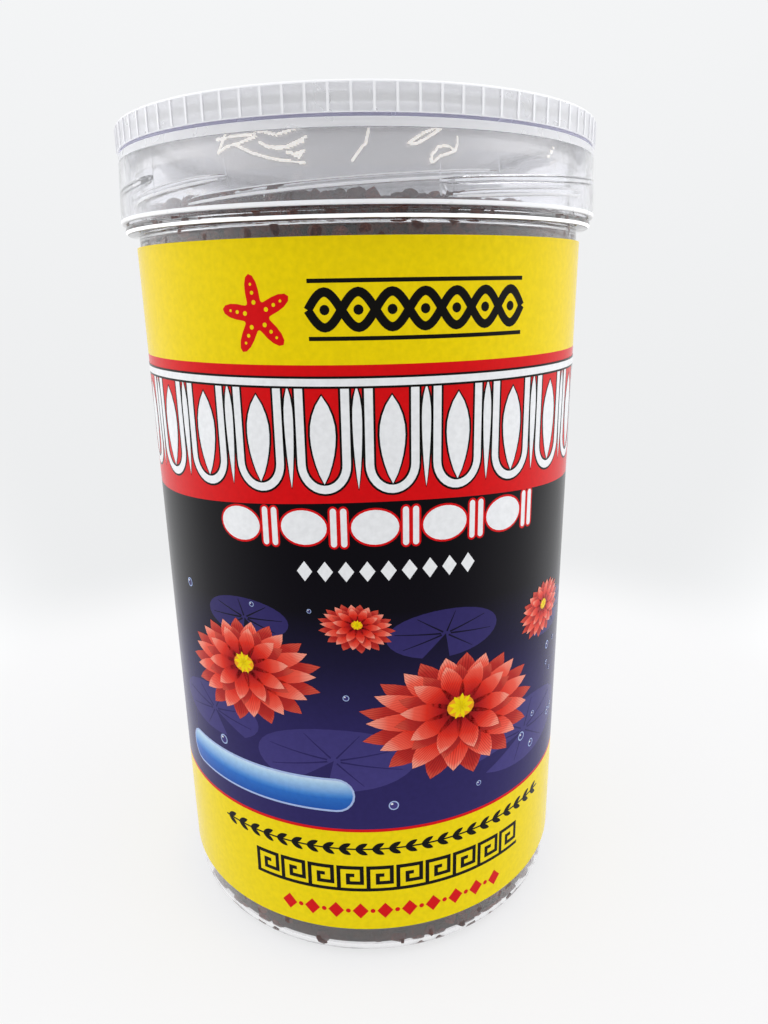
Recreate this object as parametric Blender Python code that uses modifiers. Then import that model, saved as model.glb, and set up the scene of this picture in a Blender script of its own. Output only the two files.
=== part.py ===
"""Clear plastic food jar with a translucent screw lid, full of pellets.

The jar stands on z = 0 and its axis is the Z axis. The middle of the label faces -Y.
Sizes are in millimetres and are turned into metres where a mesh is made.
"""
import math

import bmesh
import bpy

MM = 0.001
SEGMENTS = 72
CLEARANCE = 0.3
SHARP_ANGLE = 35.0

# Body of the jar: it narrows towards the foot, and stands on a flat ring round a shallow recess
BODY_TOP_RADIUS = 46.35
BODY_TAPER = 0.0055
WALL = 0.9
BASE_CORNER = 4.0
FOOT_INNER_RADIUS = 33.0
RECESS_RADIUS = 26.5
RECESS_RISE = 3.0

# Label: a sleeve that goes right round the body
LABEL_TOP = 148.9
LABEL_BOTTOM = 8.4
LABEL_THICKNESS = 0.35

# Shoulder, collar and neck
SHOULDER_LOW = 149.3
SHOULDER_HIGH = 151.6
COLLAR_LOW = 150.4
COLLAR_TOP = 153.1
COLLAR_RADIUS = 48.9
COLLAR_EDGE = 0.9
NECK_RADIUS = 45.4
NECK_INNER_RADIUS = 43.9
RIM = 166.2
RIM_ROUNDING = 0.4

# Thread: six short ridges that each rise to the right as seen from outside
THREAD_STARTS = 6
THREAD_LEAD = 18.0
THREAD_FIRST_AZIMUTH = -41.0
THREAD_SWEEP = 75.0
THREAD_START_HEIGHT = 155.1
THREAD_HEIGHT = 1.4
THREAD_ROOT_HALF = 0.7
THREAD_CREST_HALF = 0.35
THREAD_SUNK = 0.4
THREAD_STEP = 5.0
THREAD_RUN_OUT = 10.0
THREAD_END_SHARE = 0.1

# Lugs inside the lid: they lie just under the ridges of the neck, on the same lead
LUG_SETBACK = 25.0
LUG_SWEEP = 45.0
LUG_DROP = 1.15
LUG_CREST_RADIUS = 46.45
LUG_ROOT_RADIUS = 48.6

# Lid, in heights above its own lower edge
LID_EDGE_HEIGHT = COLLAR_TOP + CLEARANCE
LID_HEIGHT = 17.8
LID_SKIRT_LOW_RADIUS = 49.6
LID_SKIRT_TOP_RADIUS = 48.8
LID_WALL = 1.25
LID_EDGE_ROUNDING = 0.3
LID_SKIRT_TOP = 12.7
LID_GROOVE_RADIUS = 48.5
LID_GROOVE_WIDTH = 0.5
LID_BAND_RADIUS = 48.95
LID_PANEL_TOP = 16.3
LID_PANEL_UNDERSIDE = 15.0
LID_RIM_INNER_RADIUS = 47.5

# Grip ribs on the band of the lid
RIB_COUNT = 86
RIB_HEIGHT = 0.28
RIB_SUNK = 0.4
RIB_END_MARGIN = 0.15

# Seal film over the mouth, and the liner disc that lies loose in the lid
FILM_THICKNESS = 0.3
FILM_SKIRT_BOTTOM = 161.0
LINER_RADIUS = 47.0
LINER_THICKNESS = 1.0

# Pellets: level at the wall and height of the heap in the middle
PELLET_WALL_LEVEL = 152.8
PELLET_HEAP = 4.5
PELLET_HEAP_STEPS = 5


def clear_scene():
    for item in list(bpy.data.objects):
        bpy.data.objects.remove(item, do_unlink=True)


def make_collection(name):
    collection = bpy.data.collections.new(name)
    bpy.context.scene.collection.children.link(collection)
    return collection


def make_material(name, colour, roughness, transmission=0.0, alpha=1.0):
    material = bpy.data.materials.new(name)
    material.use_nodes = True
    shader = material.node_tree.nodes["Principled BSDF"]
    shader.inputs["Base Color"].default_value = (*colour, 1.0)
    shader.inputs["Roughness"].default_value = roughness
    shader.inputs["Metallic"].default_value = 0.0
    shader.inputs["Transmission Weight"].default_value = transmission
    shader.inputs["Alpha"].default_value = alpha
    return material


def arc(centre_r, centre_z, radius, start, end, steps):
    """Points of an arc in the (radius, height) plane, from start to end in degrees."""
    angles = [math.radians(start + (end - start) * i / steps) for i in range(steps + 1)]
    return [(centre_r + radius * math.cos(a), centre_z + radius * math.sin(a)) for a in angles]


def turned(name, profile, collection, closed=False):
    """Turn a profile of (radius, height) points round the Z axis into one closed body."""
    mesh = bpy.data.meshes.new(name)
    edges = [(i, i + 1) for i in range(len(profile) - 1)]
    if closed:
        edges.append((len(profile) - 1, 0))
    mesh.from_pydata([(r * MM, 0.0, z * MM) for r, z in profile], edges, [])
    part = bpy.data.objects.new(name, mesh)
    collection.objects.link(part)
    screw = part.modifiers.new("turn", "SCREW")
    screw.axis = "Z"
    screw.steps = SEGMENTS
    screw.render_steps = SEGMENTS
    screw.use_merge_vertices = True
    screw.merge_threshold = 0.00001
    return part


def apply_modifiers(part):
    graph = bpy.context.evaluated_depsgraph_get()
    mesh = bpy.data.meshes.new_from_object(part.evaluated_get(graph))
    part.modifiers.clear()
    part.data = mesh


def keep_largest_surface(part):
    """Drop every loose scrap, so that the part is one closed body."""
    shape = bmesh.new()
    shape.from_mesh(part.data)
    unseen = set(shape.verts)
    groups = []
    while unseen:
        group = set()
        front = [unseen.pop()]
        while front:
            corner = front.pop()
            group.add(corner)
            for edge in corner.link_edges:
                other = edge.other_vert(corner)
                if other in unseen:
                    unseen.remove(other)
                    front.append(other)
        groups.append(group)
    largest = max(groups, key=len)
    scraps = [corner for group in groups if group is not largest for corner in group]
    bmesh.ops.delete(shape, geom=scraps, context="VERTS")
    shape.to_mesh(part.data)
    shape.free()


def join_pieces(part, pieces):
    """Fuse the pieces of a collection to the part with one union."""
    apply_modifiers(part)
    union = part.modifiers.new("join", "BOOLEAN")
    union.operation = "UNION"
    union.operand_type = "COLLECTION"
    union.collection = pieces
    apply_modifiers(part)
    for piece in list(pieces.objects):
        bpy.data.objects.remove(piece, do_unlink=True)
    bpy.data.collections.remove(pieces)
    keep_largest_surface(part)


def finish(part, material):
    """Apply what is left, shade the round surfaces smooth and set the material."""
    apply_modifiers(part)
    part.data.shade_smooth()
    part.data.set_sharp_from_angle(angle=math.radians(SHARP_ANGLE))
    part.data.materials.append(material)
    return part


def helix_ridge(name, azimuth, sweep, height, root_radius, crest_radius, collection):
    """One thread ridge that rises with the lead and runs out into the wall at both ends."""
    section = (
        (root_radius, -THREAD_ROOT_HALF),
        (crest_radius, -THREAD_CREST_HALF),
        (crest_radius, THREAD_CREST_HALF),
        (root_radius, THREAD_ROOT_HALF),
    )
    steps = round(sweep / THREAD_STEP)
    shape = bmesh.new()
    start = math.radians(azimuth - 90.0)
    corners = [
        shape.verts.new((r * MM * math.cos(start), r * MM * math.sin(start), (height + z) * MM))
        for r, z in section
    ]
    face = shape.faces.new(corners)
    rise = THREAD_LEAD * sweep / 360.0
    bmesh.ops.spin(
        shape,
        geom=[face, *face.edges, *face.verts],
        cent=(0.0, 0.0, 0.0),
        axis=(0.0, 0.0, 1.0),
        dvec=(0.0, 0.0, rise * MM / steps),
        angle=math.radians(sweep),
        steps=steps,
    )
    for corner in shape.verts:
        radius = math.hypot(corner.co.x, corner.co.y) / MM
        if abs(radius - root_radius) < THREAD_SUNK / 2.0:
            continue
        along = math.degrees(math.atan2(corner.co.y, corner.co.x)) + 90.0 - azimuth
        along = (along + THREAD_STEP / 2.0) % 360.0 - THREAD_STEP / 2.0
        share = min(1.0, along / THREAD_RUN_OUT, (sweep - along) / THREAD_RUN_OUT)
        share = max(share, THREAD_END_SHARE)
        new_radius = root_radius + (radius - root_radius) * share
        corner.co.x *= new_radius / radius
        corner.co.y *= new_radius / radius
    bmesh.ops.recalc_face_normals(shape, faces=shape.faces)
    mesh = bpy.data.meshes.new(name)
    shape.to_mesh(mesh)
    shape.free()
    ridge = bpy.data.objects.new(name, mesh)
    collection.objects.link(ridge)
    return ridge


def body_radius(height):
    """Outer radius of the body's wall at a height."""
    return BODY_TOP_RADIUS - BODY_TAPER * (LABEL_TOP - height)


def cavity_profile(inset):
    """Inside of the body from the middle of the floor to the foot of the neck, drawn in by inset."""
    wall = WALL + inset
    corner_r = body_radius(BASE_CORNER) - BASE_CORNER
    return [
        (0.0, RECESS_RISE + wall),
        (RECESS_RADIUS, RECESS_RISE + wall),
        (FOOT_INNER_RADIUS, wall),
        *arc(corner_r, BASE_CORNER, BASE_CORNER - wall, -90.0, 0.0, 3),
        (body_radius(SHOULDER_LOW) - wall, SHOULDER_LOW),
        (NECK_INNER_RADIUS - inset, SHOULDER_HIGH),
    ]


def make_jar(collection):
    """Body, collar and threaded neck, which are moulded in one piece."""
    corner_r = body_radius(BASE_CORNER) - BASE_CORNER
    profile = [
        *cavity_profile(0.0),
        (NECK_INNER_RADIUS, RIM - RIM_ROUNDING),
        (NECK_INNER_RADIUS + RIM_ROUNDING, RIM),
        (NECK_RADIUS - RIM_ROUNDING, RIM),
        (NECK_RADIUS, RIM - RIM_ROUNDING),
        (NECK_RADIUS, COLLAR_TOP),
        *arc(COLLAR_RADIUS - COLLAR_EDGE, COLLAR_TOP - COLLAR_EDGE, COLLAR_EDGE, 90.0, -60.0, 4),
        (BODY_TOP_RADIUS, COLLAR_LOW),
        *arc(corner_r, BASE_CORNER, BASE_CORNER, 0.0, -90.0, 3),
        (FOOT_INNER_RADIUS, 0.0),
        (RECESS_RADIUS, RECESS_RISE),
        (0.0, RECESS_RISE),
    ]
    jar = turned("jar", profile, collection)
    ridges = make_collection("neck_ridges")
    for start in range(THREAD_STARTS):
        helix_ridge(
            f"neck_ridge_{start}",
            THREAD_FIRST_AZIMUTH + start * 360.0 / THREAD_STARTS,
            THREAD_SWEEP,
            THREAD_START_HEIGHT,
            NECK_RADIUS - THREAD_SUNK,
            NECK_RADIUS + THREAD_HEIGHT,
            ridges,
        )
    join_pieces(jar, ridges)
    return finish(jar, make_material("clear_moulded_plastic", (0.93, 0.95, 0.96), 0.05, 0.9, 0.35))


def make_label(collection):
    """Printed sleeve round the body."""
    inner_top = body_radius(LABEL_TOP) + CLEARANCE
    inner_bottom = body_radius(LABEL_BOTTOM) + CLEARANCE
    profile = [
        (inner_top + LABEL_THICKNESS, LABEL_TOP),
        (inner_bottom + LABEL_THICKNESS, LABEL_BOTTOM),
        (inner_bottom, LABEL_BOTTOM),
        (inner_top, LABEL_TOP),
    ]
    label = turned("label", profile, collection, closed=True)
    return finish(label, make_material("printed_film_label", (0.48, 0.02, 0.03), 0.25))


def make_pellets(collection):
    """The pellets as one body, level at the wall and heaped in the middle."""
    side = cavity_profile(CLEARANCE)
    edge_radius = NECK_INNER_RADIUS - CLEARANCE
    heap = []
    for i in range(PELLET_HEAP_STEPS):
        share = 1.0 - i / PELLET_HEAP_STEPS
        height = PELLET_WALL_LEVEL + PELLET_HEAP * (1.0 - share * share)
        heap.append((edge_radius * share, height))
    heap.append((0.0, PELLET_WALL_LEVEL + PELLET_HEAP))
    profile = list(reversed([*side, *heap]))
    pellets = turned("pellets", profile, collection)
    return finish(pellets, make_material("baked_pellets", (0.16, 0.06, 0.04), 0.7))


def make_seal_film(collection):
    """Clear film over the mouth, with its edge turned down round the neck."""
    underside = RIM + CLEARANCE
    top = underside + FILM_THICKNESS
    inner = NECK_RADIUS + CLEARANCE
    outer = inner + FILM_THICKNESS
    profile = [
        (0.0, top),
        (outer - RIM_ROUNDING, top),
        (outer, top - RIM_ROUNDING),
        (outer, FILM_SKIRT_BOTTOM),
        (inner, FILM_SKIRT_BOTTOM),
        (inner, underside - RIM_ROUNDING),
        (inner - RIM_ROUNDING, underside),
        (0.0, underside),
    ]
    film = turned("seal_film", profile, collection)
    return finish(film, make_material("clear_seal_film", (0.95, 0.95, 0.95), 0.1, 0.9, 0.3))


def make_liner(collection):
    """Thin disc that lies loose in the lid, above the film."""
    low = RIM + 2.0 * CLEARANCE + FILM_THICKNESS
    high = low + LINER_THICKNESS
    profile = [(0.0, high), (LINER_RADIUS, high), (LINER_RADIUS, low), (0.0, low)]
    liner = turned("liner", profile, collection)
    return finish(liner, make_material("foam_liner", (0.85, 0.86, 0.88), 0.6))


def grip_rib(name, angle, collection):
    """One grip rib: an upright three-sided prism sunk in the band."""
    low = LID_SKIRT_TOP + LID_GROOVE_WIDTH + RIB_END_MARGIN
    high = LID_HEIGHT - LID_EDGE_ROUNDING - RIB_END_MARGIN
    radius = (RIB_HEIGHT + RIB_SUNK) * 2.0 / 3.0
    shape = bmesh.new()
    bmesh.ops.create_cone(
        shape,
        cap_ends=True,
        segments=3,
        radius1=radius * MM,
        radius2=radius * MM,
        depth=(high - low) * MM,
    )
    mesh = bpy.data.meshes.new(name)
    shape.to_mesh(mesh)
    shape.free()
    rib = bpy.data.objects.new(name, mesh)
    distance = LID_BAND_RADIUS + RIB_HEIGHT - radius
    rib.location = (
        distance * MM * math.cos(angle),
        distance * MM * math.sin(angle),
        (low + high) / 2.0 * MM,
    )
    rib.rotation_euler = (0.0, 0.0, angle - math.pi / 2.0)
    collection.objects.link(rib)
    return rib


def make_lid(collection):
    """Screw lid with a ribbed band, a raised stacking rim and lugs inside."""
    groove_high = LID_SKIRT_TOP + LID_GROOVE_WIDTH
    inner_low = LID_SKIRT_LOW_RADIUS - LID_WALL
    inner_high = LID_SKIRT_TOP_RADIUS - LID_WALL
    rounding = LID_EDGE_ROUNDING
    profile = [
        (0.0, LID_PANEL_TOP),
        (LID_RIM_INNER_RADIUS - rounding, LID_PANEL_TOP),
        (LID_RIM_INNER_RADIUS, LID_HEIGHT - rounding),
        (LID_RIM_INNER_RADIUS + rounding, LID_HEIGHT),
        (LID_BAND_RADIUS - rounding, LID_HEIGHT),
        (LID_BAND_RADIUS, LID_HEIGHT - rounding),
        (LID_BAND_RADIUS, groove_high),
        (LID_GROOVE_RADIUS, groove_high),
        (LID_GROOVE_RADIUS, LID_SKIRT_TOP + rounding / 2.0),
        (LID_SKIRT_TOP_RADIUS, LID_SKIRT_TOP),
        (LID_SKIRT_LOW_RADIUS, rounding),
        (LID_SKIRT_LOW_RADIUS - rounding, 0.0),
        (inner_low + rounding, 0.0),
        (inner_low, rounding),
        (inner_high, LID_PANEL_UNDERSIDE - rounding),
        (inner_high - rounding, LID_PANEL_UNDERSIDE),
        (0.0, LID_PANEL_UNDERSIDE),
    ]
    lid = turned("lid", profile, collection)
    pieces = make_collection("lid_pieces")
    for rib in range(RIB_COUNT):
        grip_rib(f"grip_rib_{rib}", math.tau * rib / RIB_COUNT, pieces)
    lug_height = THREAD_START_HEIGHT - LUG_DROP + THREAD_LEAD * LUG_SETBACK / 360.0
    for start in range(THREAD_STARTS):
        helix_ridge(
            f"lid_lug_{start}",
            THREAD_FIRST_AZIMUTH + LUG_SETBACK + start * 360.0 / THREAD_STARTS,
            LUG_SWEEP,
            lug_height - LID_EDGE_HEIGHT,
            LUG_ROOT_RADIUS,
            LUG_CREST_RADIUS,
            pieces,
        )
    join_pieces(lid, pieces)
    lid.location = (0.0, 0.0, LID_EDGE_HEIGHT * MM)
    return finish(lid, make_material("translucent_lid_plastic", (0.75, 0.76, 0.8), 0.25, 0.4, 0.6))


def main():
    clear_scene()
    parts = make_collection("screw_lid_jar")
    make_jar(parts)
    make_label(parts)
    make_pellets(parts)
    make_seal_film(parts)
    make_liner(parts)
    make_lid(parts)


main()
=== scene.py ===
"""Looks of a clear plastic jar of food pellets with a translucent screw lid.

The jar stands on z = 0 with its axis on the Z axis, and the front of the label faces -Y.
Sizes are in millimetres, and MM turns them into metres where a shape is made. Azimuths are
in degrees, 0 at the front and positive to the right as seen from the front.
"""

import math
import random

import bmesh
import bpy
from mathutils import Euler, Matrix, Vector, kdtree, noise


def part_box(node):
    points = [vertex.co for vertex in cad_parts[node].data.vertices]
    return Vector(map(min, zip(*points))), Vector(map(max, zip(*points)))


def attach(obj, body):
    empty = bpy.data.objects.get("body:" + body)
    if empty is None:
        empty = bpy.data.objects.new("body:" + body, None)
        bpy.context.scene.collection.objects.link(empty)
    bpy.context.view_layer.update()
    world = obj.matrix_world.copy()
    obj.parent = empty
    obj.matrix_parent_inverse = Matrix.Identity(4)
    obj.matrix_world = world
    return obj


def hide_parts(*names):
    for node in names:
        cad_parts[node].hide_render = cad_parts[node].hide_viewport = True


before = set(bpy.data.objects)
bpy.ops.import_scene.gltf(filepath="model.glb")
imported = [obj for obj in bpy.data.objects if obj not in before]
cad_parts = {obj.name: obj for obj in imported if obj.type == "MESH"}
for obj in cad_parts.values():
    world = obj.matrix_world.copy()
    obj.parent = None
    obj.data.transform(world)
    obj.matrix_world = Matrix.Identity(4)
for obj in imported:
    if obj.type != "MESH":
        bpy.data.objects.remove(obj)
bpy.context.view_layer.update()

MM = 0.001


def turned_size(node):
    """Largest radius, lowest point and highest point of a round node of the frame."""
    low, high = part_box(node)
    return high.x / MM, low.z / MM, high.z / MM


COLLAR_RADIUS, _, RIM = turned_size("jar")
LABEL_RADIUS, LABEL_LOW, LABEL_HIGH = turned_size("label")
LID_RADIUS, LID_LOW, LID_HIGH = turned_size("lid")
_, FILM_LOW, _ = turned_size("seal_film")
LINER_RADIUS, LINER_LOW, LINER_HIGH = turned_size("liner")

# Body of the jar: it narrows towards the foot, and stands on a ring round a shallow recess
ROUND_STEPS = 192
BODY_TOP_RADIUS = 46.35
BODY_TAPER = 0.0055
WALL = 0.9
BASE_CORNER = 4.0
FOOT_INNER_RADIUS = 33.0
RECESS_RADIUS = 26.5
RECESS_RISE = 3.0
GATE_RADIUS = 1.8
GATE_DROP = 0.7

# Shoulder, collar and neck
SHOULDER_LOW = 150.8
SHOULDER_HIGH = 152.5
COLLAR_LOW = 151.2
COLLAR_TOP = 153.1
COLLAR_EDGE = 0.7
NECK_RADIUS = 45.4
NECK_INNER_RADIUS = 43.9
RIM_ROUNDING = 0.5

# Thread on the neck, and the lugs in the lid that run under it
THREAD_STARTS = 6
THREAD_LEAD = 18.0
THREAD_FIRST_AZIMUTH = -41.0
THREAD_SWEEP = 75.0
THREAD_START_HEIGHT = 155.1
THREAD_HEIGHT = 1.4
RIDGE_THICKNESS = 1.4
RIDGE_ROUNDING = 0.45
RIDGE_SUNK = 0.4
RIDGE_STEP = 1.5
RIDGE_RUN_OUT = 9.0
LUG_COUNT = 3
LUG_SETBACK = 57.0
LUG_SWEEP = 60.0
LUG_DROP = 1.15
LUG_CREST_RADIUS = 46.45
LUG_ROOT_RADIUS = 48.6

# Lid, in heights above its own lower edge
RIB_COUNT = 86
STEPS_PER_RIB = 9
LID_SKIRT_TOP_RADIUS = 48.8
LID_WALL = 1.25
LID_ROUNDING = 0.3
LID_SKIRT_TOP = 12.7
LID_GROOVE_RADIUS = 48.5
LID_GROOVE_WIDTH = 0.5
LID_BAND_RADIUS = 48.95
LID_PANEL_TOP = 16.3
LID_PANEL_UNDERSIDE = 15.0
LID_RIM_INNER_RADIUS = 47.5
LID_EDGE_LINE = 0.7
LID_RING_HEIGHT = 11.4
LID_RING_DEPTH = 0.35
RIB_HEIGHT = 0.2
RIB_END_MARGIN = 0.15

# Label: where its middle faces, and the edges of its bands
LABEL_MIDDLE = 6.5
LABEL_FILM = 0.3
YELLOW_BAND_LOW = 128.1
RED_BAND_LOW = 100.9
RED_BAND_ARCH = 2.9
ARCH_HALF_WIDTH = 75.0
RED_LINE_HIGH = 33.9
RED_LINE_LOW = 33.2

# Pellets
PELLET_RADIUS = 1.5
PELLET_LENGTH = 2.75
PELLET_KINDS = 9
CRUST_COUNT = 2450
CRUST_LOW = 144.5
CRUST_HIGH = 158.5
SOLE_COUNT = 1000
SOLE_HIGH = 13.0
SETTLE_ROUNDS = 36


def colour(code):
    """Turn an sRGB hex colour to the linear colour that a shader takes."""
    channels = [int(code[i:i + 2], 16) / 255.0 for i in (1, 3, 5)]
    return (*[c / 12.92 if c <= 0.04045 else ((c + 0.055) / 1.055) ** 2.4 for c in channels], 1.0)


def body_radius(height):
    """Outer radius of the jar's wall."""
    return BODY_TOP_RADIUS - BODY_TAPER * (LABEL_HIGH - height)


def label_radius(height):
    """Outer radius of the label."""
    return LABEL_RADIUS - BODY_TAPER * (LABEL_HIGH - height)


def round_point(azimuth, radius, height):
    """The place of a point given by its azimuth, radius and height."""
    angle = math.radians(azimuth - 90.0)
    return Vector((radius * math.cos(angle), radius * math.sin(angle), height))


def azimuth_of(point):
    """Azimuth of a place, from -180 to 180 degrees."""
    return (math.degrees(math.atan2(point.y, point.x)) + 270.0) % 360.0 - 180.0


# Modelling tools

def select_only(*pieces):
    bpy.ops.object.select_all(action="DESELECT")
    for piece in pieces:
        piece.select_set(True)
    bpy.context.view_layer.objects.active = pieces[0]


def select_faces(test):
    """In edit mode, select the faces whose middle passes a test."""
    bpy.ops.mesh.select_mode(type="FACE")
    bpy.ops.mesh.select_all(action="DESELECT")
    mesh = bpy.context.object.data
    shape = bmesh.from_edit_mesh(mesh)
    for face in shape.faces:
        if test(face.calc_center_median() / MM):
            face.select_set(True)
    bmesh.update_edit_mesh(mesh)


def joined(name, pieces):
    """Join pieces into the first one."""
    select_only(*pieces)
    if len(pieces) > 1:
        bpy.ops.object.join()
    piece = bpy.context.object
    piece.name = name
    return piece


def apply_modifier(piece, modifier):
    select_only(piece)
    bpy.ops.object.modifier_apply(modifier=modifier.name)


def fuse(body, pieces):
    """Join pieces to a body with one union."""
    addition = joined("addition", pieces)
    union = body.modifiers.new("union", "BOOLEAN")
    union.operation = "UNION"
    union.solver = "EXACT"
    union.object = addition
    apply_modifier(body, union)
    bpy.data.objects.remove(addition)


def shade(piece, angle=35.0):
    select_only(piece)
    bpy.ops.object.shade_smooth_by_angle(angle=math.radians(angle))


def finish(piece, materials, choose=None, angle=35.0):
    """Shade a piece and give it its materials; choose gives each face the number of one of them."""
    shade(piece, angle)
    for material in materials:
        piece.data.materials.append(material)
    if choose:
        for face in piece.data.polygons:
            face.material_index = choose(face)
    return piece


def rounded(corners, step=12.0):
    """Outline through (x, y, rounding) corners, with an arc at each corner that has a rounding."""
    outline = []
    for i, (x, y, rounding) in enumerate(corners):
        here = Vector((x, y))
        if rounding == 0.0:
            outline.append(here)
            continue
        back = (Vector(corners[i - 1][:2]) - here).normalized()
        ahead = (Vector(corners[i + 1][:2]) - here).normalized()
        half = back.angle(ahead) / 2.0
        centre = here + (back + ahead).normalized() * rounding / math.sin(half)
        first = here + back * rounding / math.tan(half) - centre
        last = here + ahead * rounding / math.tan(half) - centre
        start = math.atan2(first.y, first.x)
        turn = (math.atan2(last.y, last.x) - start + math.pi) % math.tau - math.pi
        steps = max(2, math.ceil(abs(math.degrees(turn)) / step))
        for k in range(steps + 1):
            angle = start + turn * k / steps
            outline.append(centre + Vector((math.cos(angle), math.sin(angle))) * rounding)
    return outline


def turned(name, outline, steps, closed=False):
    """Draw an outline of (radius, height) points by extruding one corner, and spin it round Z."""
    first = outline[0]
    bpy.ops.mesh.primitive_plane_add(size=MM, location=(first[0] * MM, 0.0, first[1] * MM))
    piece = bpy.context.object
    piece.name = name
    bpy.ops.object.transform_apply(location=True, rotation=True, scale=True)
    bpy.ops.object.mode_set(mode="EDIT")
    bpy.ops.mesh.select_mode(type="VERT")
    bpy.ops.mesh.merge(type="CENTER")
    for here, ahead in zip(outline, outline[1:]):
        move = ((ahead[0] - here[0]) * MM, 0.0, (ahead[1] - here[1]) * MM)
        bpy.ops.mesh.extrude_region_move(TRANSFORM_OT_translate={"value": move})
    bpy.ops.mesh.select_all(action="SELECT")
    if closed:
        bpy.ops.mesh.edge_face_add()
        bpy.ops.mesh.delete(type="ONLY_FACE")
        bpy.ops.mesh.select_all(action="SELECT")
    bpy.ops.mesh.spin(steps=steps, angle=math.tau, center=(0.0, 0.0, 0.0), axis=(0.0, 0.0, 1.0))
    bpy.ops.mesh.select_all(action="SELECT")
    bpy.ops.mesh.remove_doubles(threshold=0.000005)
    bpy.ops.mesh.normals_make_consistent(inside=False)
    bpy.ops.object.mode_set(mode="OBJECT")
    return piece


# Materials: each is a table of nodes, one row to a node

OBJECT_PLACE = {"Vector": ("place", "Object")}
MULTIPLY = {"data_type": "RGBA", "blend_type": "MULTIPLY", 0: 1.0}
SOFT_STEP = {"interpolation_type": "SMOOTHSTEP"}


def add_node(tree, kind, settings, links):
    """Add a node, set its properties, sockets and colour stops, and link what comes into it."""
    node = tree.nodes.new("ShaderNode" + kind)
    for name, value in settings.items():
        if name == "stops":
            elements = node.color_ramp.elements
            while len(elements) < len(value):
                elements.new(0.5)
            for element, (place, code) in zip(elements, value):
                element.position = place
                element.color = colour(code)
        elif isinstance(name, int) or name in node.inputs:
            node.inputs[name].default_value = colour(value) if isinstance(value, str) else value
        else:
            setattr(node, name, value)
    for name, source in links.items():
        tree.links.new(source, node.inputs[name])
    return node


def node_material(name, *rows):
    """A material from rows of (label, kind of node, settings, links). A link gives the label and the
    output of a row above it, and the last row is the surface."""
    material = bpy.data.materials.new(name)
    material.use_nodes = True
    tree = material.node_tree
    tree.nodes.clear()
    nodes = {"place": add_node(tree, "TexCoord", {}, {})}
    for label, kind, settings, links in rows:
        sources = {socket: nodes[row].outputs[output] for socket, (row, output) in links.items()}
        nodes[label] = add_node(tree, kind, settings, sources)
    surface = tree.nodes.new("ShaderNodeOutputMaterial")
    tree.links.new(nodes[rows[-1][0]].outputs[0], surface.inputs["Surface"])
    return material


def per_lump(size):
    """Scale of a pattern whose lumps are about the given size in millimetres."""
    return 1.0 / (size * MM)


def clear_pet():
    """PET, stretch-blow-moulded: clear and glossy, with slow waves in the wall that bend the view."""
    return node_material(
        "clear PET",
        ("waves", "TexNoise", {"Scale": per_lump(9.0), "Detail": 1.0}, OBJECT_PLACE),
        ("relief", "Bump", {"Distance": 0.12 * MM}, {"Height": ("waves", "Fac")}),
        ("plastic", "BsdfPrincipled",
         {"Base Color": "#FEFEFF", "Roughness": 0.015, "IOR": 1.575, "Transmission Weight": 1.0},
         {"Normal": ("relief", "Normal")}),
    )


def natural_polypropylene(name, clearness, haze_low, haze_high, tint="#FCFCFF"):
    """Natural polypropylene, injection-moulded: milky and see-through, with a soft haze and flow
    marks. The thicker the plastic that the eye looks through, the whiter it is."""
    return node_material(
        name,
        ("flow", "TexNoise", {"Scale": per_lump(6.0), "Detail": 2.0}, OBJECT_PLACE),
        ("haze", "MapRange",
         {"From Min": 0.3, "From Max": 0.7, "To Min": haze_low, "To Max": haze_high},
         {"Value": ("flow", "Fac")}),
        ("relief", "Bump", {"Distance": 0.06 * MM}, {"Height": ("flow", "Fac")}),
        ("plastic", "BsdfPrincipled",
         {"Base Color": tint, "IOR": 1.49, "Transmission Weight": clearness},
         {"Roughness": ("haze", "Result"), "Normal": ("relief", "Normal")}),
    )


def highlight_pet():
    """PET with a painted highlight: the same plastic, matt and white with a faint glow, standing in for the
    glint along the edges of the thread and the collar.
    """
    return node_material(
        "PET with painted highlight",
        ("wear", "TexNoise", {"Scale": per_lump(1.5), "Detail": 3.0}, OBJECT_PLACE),
        ("rub", "MapRange",
         {"From Min": 0.3, "From Max": 0.7, "To Min": 0.25, "To Max": 0.45}, {"Value": ("wear", "Fac")}),
        ("plastic", "BsdfPrincipled",
         {"Base Color": "#FDFDFE", "IOR": 1.575, "Emission Color": "#FFFFFF", "Emission Strength": 0.25},
         {"Roughness": ("rub", "Result")}),
    )


def creased_film_painted_glint():
    """Polyester film along a sharp fold: stretched until it turns white, with a painted highlight, a faint
    glow that stands in for the glint along the fold.
    """
    return node_material(
        "creased sealing film with painted glint",
        ("streaks", "TexNoise", {"Scale": per_lump(0.5), "Detail": 2.0}, OBJECT_PLACE),
        ("tone", "ValToRGB", {"stops": [(0.3, "#EDE6DC"), (0.6, "#FFFDF8")]}, {"Fac": ("streaks", "Fac")}),
        ("film", "BsdfPrincipled",
         {"Roughness": 0.2, "IOR": 1.55, "Emission Color": "#FFFAF0", "Emission Strength": 0.5},
         {"Base Color": ("tone", "Color")}),
    )


def sealing_film():
    """Clear polyester film, heat-sealed: thin and crisp. Its creases take the creased film, white with a
    painted highlight along them.
    """
    return node_material(
        "clear sealing film",
        ("crumple", "TexNoise", {"Scale": per_lump(1.6), "Detail": 2.0}, OBJECT_PLACE),
        ("relief", "Bump", {"Distance": 0.05 * MM}, {"Height": ("crumple", "Fac")}),
        ("film", "BsdfPrincipled",
         {"Base Color": "#FFFEFC", "Roughness": 0.04, "IOR": 1.55, "Transmission Weight": 1.0},
         {"Normal": ("relief", "Normal")}),
    )


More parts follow.
